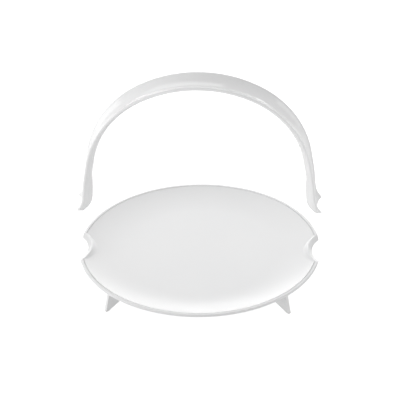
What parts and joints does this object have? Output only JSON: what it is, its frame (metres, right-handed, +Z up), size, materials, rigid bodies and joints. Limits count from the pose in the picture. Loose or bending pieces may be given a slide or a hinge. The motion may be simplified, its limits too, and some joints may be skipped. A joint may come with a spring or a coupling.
{
  "type": "lazy susan turntable",
  "caption": "Round notched serving tray that turns on a low base with blade feet, with an arched lift-off carry handle of gutter section.",
  "frame": {"origin": "centre of the turning axis, on the surface that the feet stand on", "axes": "+Z up along the turning axis, +X through the right-hand notch of the tray, -Y towards the viewer"},
  "size_m": [0.3014, 0.3, 0.2734],
  "materials": {
    "tray_plastic": "glossy moulded white plastic",
    "handle_plastic": "glossy moulded white plastic",
    "base_plastic": "white moulded plastic, slightly less glossy",
    "foot_rubber": "soft white rubber",
    "race_steel": "zinc-plated pressed steel",
    "ball_steel": "polished steel",
    "cage_plastic": "natural nylon",
    "screw_steel": "zinc-plated steel",
    "cap_plastic": "matt white plastic"
  },
  "bodies": {
    "base": {"base_spider": "base_plastic", "lower_race": "race_steel", "lower_race_screws": "screw_steel", "hub_cap": "cap_plastic", "foot_pad_rear_right": "foot_rubber", "foot_pad_rear_left": "foot_rubber", "foot_pad_front_left": "foot_rubber", "foot_pad_front_right": "foot_rubber"},
    "tray": {"tray": "tray_plastic", "upper_race": "race_steel", "upper_race_screws": "screw_steel", "retaining_washer": "screw_steel", "retaining_screw": "screw_steel"},
    "ball_ring": {"ball_cage": "cage_plastic", "bearing_balls": "ball_steel"},
    "handle": {"carry_handle": "handle_plastic"}
  },
  "joints": [
    {"name": "tray_spin", "type": "hinge", "parent": "base", "child": "tray", "pos_m": [0, 0, 0.017], "axis": [0, 0, 1], "continuous": true},
    {"name": "ball_ring_spin", "type": "hinge", "parent": "base", "child": "ball_ring", "pos_m": [0, 0, 0.017], "axis": [0, 0, 1], "continuous": true},
    {"name": "handle_lift", "type": "slide", "parent": "tray", "child": "handle", "axis": [0, 0, 1], "range_m": [-0.062, 0.04]}
  ],
  "couplings": [
    {"joint": "ball_ring_spin", "follows": "tray_spin", "ratio": 0.5}
  ]
}
